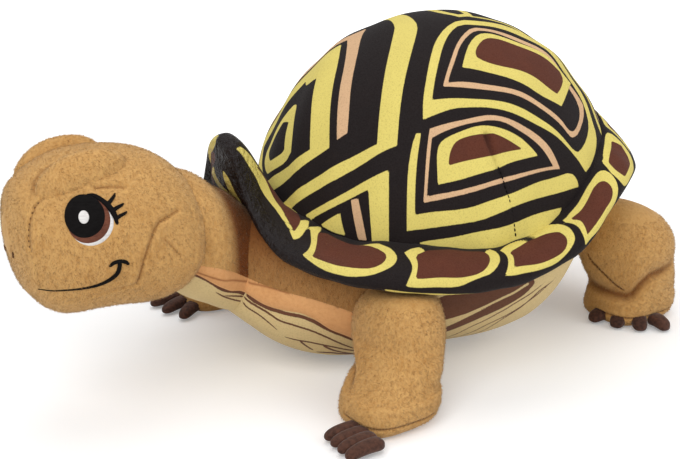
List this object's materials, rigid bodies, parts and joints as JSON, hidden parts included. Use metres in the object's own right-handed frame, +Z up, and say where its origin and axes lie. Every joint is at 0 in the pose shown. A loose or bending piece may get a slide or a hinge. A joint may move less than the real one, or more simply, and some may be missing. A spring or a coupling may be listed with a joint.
{
  "type": "plush turtle",
  "caption": "Stuffed toy turtle standing on all fours: printed domed shell with a padded rim, soft head and neck, clawed feet and a short tail.",
  "frame": {"origin": "on the floor, under the middle of the toy's bounding box", "axes": "+Z up, -Y the way the turtle faces, +X the turtle's left"},
  "size_m": [0.2294, 0.3634, 0.1685],
  "materials": {
    "shell_print": "printed velour, matt",
    "shell_lining": "cream velour, matt",
    "tan_plush": "short pile plush, matt",
    "orange_satin": "smooth brushed knit, soft sheen",
    "cream_satin": "smooth brushed knit, soft sheen",
    "claw_suede": "faux suede, matt",
    "eye_thread": "satin stitch embroidery",
    "polyester_fill": "loose polyester fibre, hidden"
  },
  "bodies": {
    "torso": {"shell_cover": "shell_print", "shell_filling": "polyester_fill", "rim_upper_panel": "shell_print", "rim_lower_panel": "shell_lining", "rim_padding": "polyester_fill", "chest_left": "tan_plush", "chest_right": "tan_plush", "gusset_left": "orange_satin", "gusset_right": "orange_satin", "plastron_panel": "cream_satin", "rump_cover": "tan_plush", "torso_filling": "polyester_fill"},
    "neck": {"neck_cover": "tan_plush", "neck_filling": "polyester_fill"},
    "head": {"head_cover": "tan_plush", "head_filling": "polyester_fill", "chin_panel": "tan_plush", "cheek_left": "tan_plush", "cheek_right": "tan_plush", "brow_pad_left": "tan_plush", "brow_pad_right": "tan_plush", "eye_left": "eye_thread", "eye_right": "eye_thread"},
    "tail": {"tail_cover": "tan_plush", "tail_filling": "polyester_fill"},
    "front_left_leg": {"front_left_leg_cover": "tan_plush", "front_left_leg_filling": "polyester_fill", "front_left_sole": "tan_plush", "front_left_claws": "claw_suede"},
    "front_right_leg": {"front_right_leg_cover": "tan_plush", "front_right_leg_filling": "polyester_fill", "front_right_sole": "tan_plush", "front_right_claws": "claw_suede"},
    "hind_left_leg": {"hind_left_leg_cover": "tan_plush", "hind_left_leg_filling": "polyester_fill", "hind_left_sole": "tan_plush", "hind_left_claws": "claw_suede"},
    "hind_right_leg": {"hind_right_leg_cover": "tan_plush", "hind_right_leg_filling": "polyester_fill", "hind_right_sole": "tan_plush", "hind_right_claws": "claw_suede"}
  },
  "joints": [
    {"name": "neck_nod", "type": "hinge", "parent": "torso", "child": "neck", "pos_m": [0, -0.07875, 0.056], "axis": [1, 0, 0], "range_deg": [-4, 15], "stiffness_Nm_per_rad": 2},
    {"name": "head_turn", "type": "hinge", "parent": "neck", "child": "head", "pos_m": [0, -0.10275, 0.079], "axis": [0, 0, 1], "range_deg": [-20, 20], "stiffness_Nm_per_rad": 1},
    {"name": "tail_swing", "type": "hinge", "parent": "torso", "child": "tail", "pos_m": [0, 0.15425, 0.07], "axis": [1, 0, 0], "range_deg": [-15, 15], "stiffness_Nm_per_rad": 0.05},
    {"name": "front_left_swing", "type": "hinge", "parent": "torso", "child": "front_left_leg", "pos_m": [0.06802, -0.03169, 0.033], "axis": [1, 0, 0], "range_deg": [-12, 12], "stiffness_Nm_per_rad": 1},
    {"name": "front_right_swing", "type": "hinge", "parent": "torso", "child": "front_right_leg", "pos_m": [-0.06802, -0.03169, 0.033], "axis": [1, 0, 0], "range_deg": [-12, 12], "stiffness_Nm_per_rad": 1},
    {"name": "hind_left_swing", "type": "hinge", "parent": "torso", "child": "hind_left_leg", "pos_m": [0.05597, 0.1362, 0.042], "axis": [1, 0, 0], "range_deg": [-12, 12], "stiffness_Nm_per_rad": 1},
    {"name": "hind_right_swing", "type": "hinge", "parent": "torso", "child": "hind_right_leg", "pos_m": [-0.05597, 0.1362, 0.042], "axis": [1, 0, 0], "range_deg": [-12, 12], "stiffness_Nm_per_rad": 1}
  ]
}
